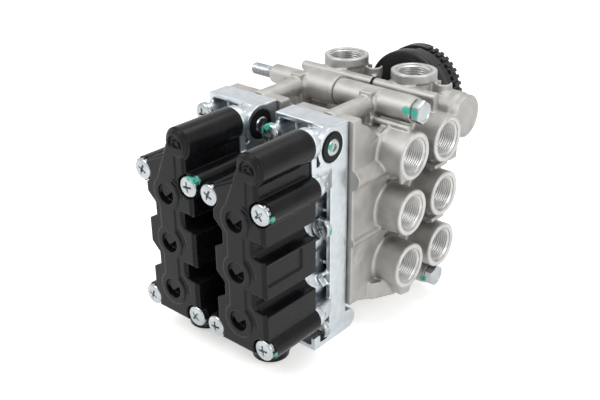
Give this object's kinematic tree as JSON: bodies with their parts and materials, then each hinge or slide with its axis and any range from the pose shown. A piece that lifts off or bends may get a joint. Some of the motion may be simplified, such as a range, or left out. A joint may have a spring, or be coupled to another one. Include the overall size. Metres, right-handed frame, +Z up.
{
  "type": "pneumatic solenoid valve",
  "caption": "Double solenoid valve block with moulded covers, die-cast middle plates, cast valve bodies, threaded side and top ports, through bolts and a round silencer.",
  "frame": {"origin": "middle of the outer box on the plane of the feet", "axes": "+Z up, +X across the banks towards the side ports, +Y from the covers back to the silencer"},
  "size_m": [0.1394, 0.217, 0.1524],
  "materials": {
    "cover_plastic": "moulded, semi-gloss, glass-filled",
    "contact_brass": "plated contacts",
    "screw_zinc": "bright zinc plated",
    "seal_rubber": "moulded rubber",
    "coil_copper": "enamelled winding, varnished",
    "tube_steel": "turned stainless",
    "armature_steel": "ground",
    "spring_steel": "drawn wire",
    "plate_casting": "die-cast, bead blasted bright",
    "vent_rubber": "moulded rubber",
    "cap_metal": "turned, bright",
    "body_casting": "pressure die-cast, plain",
    "piston_brass": "turned",
    "bolt_zinc": "bright zinc plated",
    "silencer_plastic": "moulded, fine grain",
    "filter_plastic": "porous sintered"
  },
  "bodies": {
    "valve_block": {"right_solenoid_cover": "cover_plastic", "right_connector_pins": "contact_brass", "right_cover_screws": "screw_zinc", "right_cover_seal": "seal_rubber", "right_coils": "coil_copper", "right_guide_tubes": "tube_steel", "right_upper_armature_spring": "spring_steel", "right_middle_armature_spring": "spring_steel", "right_lower_armature_spring": "spring_steel", "right_middle_plate": "plate_casting", "right_vent_ring": "vent_rubber", "right_vent_cap": "cap_metal", "right_plate_screws": "screw_zinc", "right_body_seal": "seal_rubber", "right_valve_body": "body_casting", "right_upper_piston_spring": "spring_steel", "right_middle_piston_spring": "spring_steel", "right_lower_piston_spring": "spring_steel", "left_solenoid_cover": "cover_plastic", "left_connector_pins": "contact_brass", "left_cover_screws": "screw_zinc", "left_cover_seal": "seal_rubber", "left_coils": "coil_copper", "left_guide_tubes": "tube_steel", "left_upper_armature_spring": "spring_steel", "left_middle_armature_spring": "spring_steel", "left_lower_armature_spring": "spring_steel", "left_middle_plate": "plate_casting", "left_vent_ring": "vent_rubber", "left_vent_cap": "cap_metal", "left_plate_screws": "screw_zinc", "left_body_seal": "seal_rubber", "left_valve_body": "body_casting", "left_upper_piston_spring": "spring_steel", "left_middle_piston_spring": "spring_steel", "left_lower_piston_spring": "spring_steel", "upper_bolt": "bolt_zinc", "lower_bolt": "bolt_zinc", "link_seals": "seal_rubber", "silencer_neck": "silencer_plastic", "silencer_body": "silencer_plastic", "silencer_filter": "filter_plastic"},
    "right_upper_armature": {"right_upper_armature": "armature_steel"},
    "right_middle_armature": {"right_middle_armature": "armature_steel"},
    "right_lower_armature": {"right_lower_armature": "armature_steel"},
    "right_upper_piston": {"right_upper_piston": "piston_brass"},
    "right_middle_piston": {"right_middle_piston": "piston_brass"},
    "right_lower_piston": {"right_lower_piston": "piston_brass"},
    "left_upper_armature": {"left_upper_armature": "armature_steel"},
    "left_middle_armature": {"left_middle_armature": "armature_steel"},
    "left_lower_armature": {"left_lower_armature": "armature_steel"},
    "left_upper_piston": {"left_upper_piston": "piston_brass"},
    "left_middle_piston": {"left_middle_piston": "piston_brass"},
    "left_lower_piston": {"left_lower_piston": "piston_brass"}
  },
  "joints": [
    {"name": "right_upper_armature_slide", "type": "slide", "parent": "valve_block", "child": "right_upper_armature", "axis": [0, -1, 0], "range_m": [0, 0.0012], "stiffness_N_per_m": 600, "springref_m": -0.004, "deforming": ["right_upper_armature_spring"]},
    {"name": "right_upper_piston_slide", "type": "slide", "parent": "valve_block", "child": "right_upper_piston", "axis": [0, -1, 0], "range_m": [0, 0.0032], "stiffness_N_per_m": 1500, "springref_m": -0.003, "deforming": ["right_upper_piston_spring"]},
    {"name": "right_middle_armature_slide", "type": "slide", "parent": "valve_block", "child": "right_middle_armature", "axis": [0, -1, 0], "range_m": [0, 0.0012], "stiffness_N_per_m": 600, "springref_m": -0.004, "deforming": ["right_middle_armature_spring"]},
    {"name": "right_middle_piston_slide", "type": "slide", "parent": "valve_block", "child": "right_middle_piston", "axis": [0, -1, 0], "range_m": [0, 0.0032], "stiffness_N_per_m": 1500, "springref_m": -0.003, "deforming": ["right_middle_piston_spring"]},
    {"name": "right_lower_armature_slide", "type": "slide", "parent": "valve_block", "child": "right_lower_armature", "axis": [0, -1, 0], "range_m": [0, 0.0012], "stiffness_N_per_m": 600, "springref_m": -0.004, "deforming": ["right_lower_armature_spring"]},
    {"name": "right_lower_piston_slide", "type": "slide", "parent": "valve_block", "child": "right_lower_piston", "axis": [0, -1, 0], "range_m": [0, 0.0032], "stiffness_N_per_m": 1500, "springref_m": -0.003, "deforming": ["right_lower_piston_spring"]},
    {"name": "left_upper_armature_slide", "type": "slide", "parent": "valve_block", "child": "left_upper_armature", "axis": [0, -1, 0], "range_m": [0, 0.0012], "stiffness_N_per_m": 600, "springref_m": -0.004, "deforming": ["left_upper_armature_spring"]},
    {"name": "left_upper_piston_slide", "type": "slide", "parent": "valve_block", "child": "left_upper_piston", "axis": [0, -1, 0], "range_m": [0, 0.0032], "stiffness_N_per_m": 1500, "springref_m": -0.003, "deforming": ["left_upper_piston_spring"]},
    {"name": "left_middle_armature_slide", "type": "slide", "parent": "valve_block", "child": "left_middle_armature", "axis": [0, -1, 0], "range_m": [0, 0.0012], "stiffness_N_per_m": 600, "springref_m": -0.004, "deforming": ["left_middle_armature_spring"]},
    {"name": "left_middle_piston_slide", "type": "slide", "parent": "valve_block", "child": "left_middle_piston", "axis": [0, -1, 0], "range_m": [0, 0.0032], "stiffness_N_per_m": 1500, "springref_m": -0.003, "deforming": ["left_middle_piston_spring"]},
    {"name": "left_lower_armature_slide", "type": "slide", "parent": "valve_block", "child": "left_lower_armature", "axis": [0, -1, 0], "range_m": [0, 0.0012], "stiffness_N_per_m": 600, "springref_m": -0.004, "deforming": ["left_lower_armature_spring"]},
    {"name": "left_lower_piston_slide", "type": "slide", "parent": "valve_block", "child": "left_lower_piston", "axis": [0, -1, 0], "range_m": [0, 0.0032], "stiffness_N_per_m": 1500, "springref_m": -0.003, "deforming": ["left_lower_piston_spring"]}
  ]
}
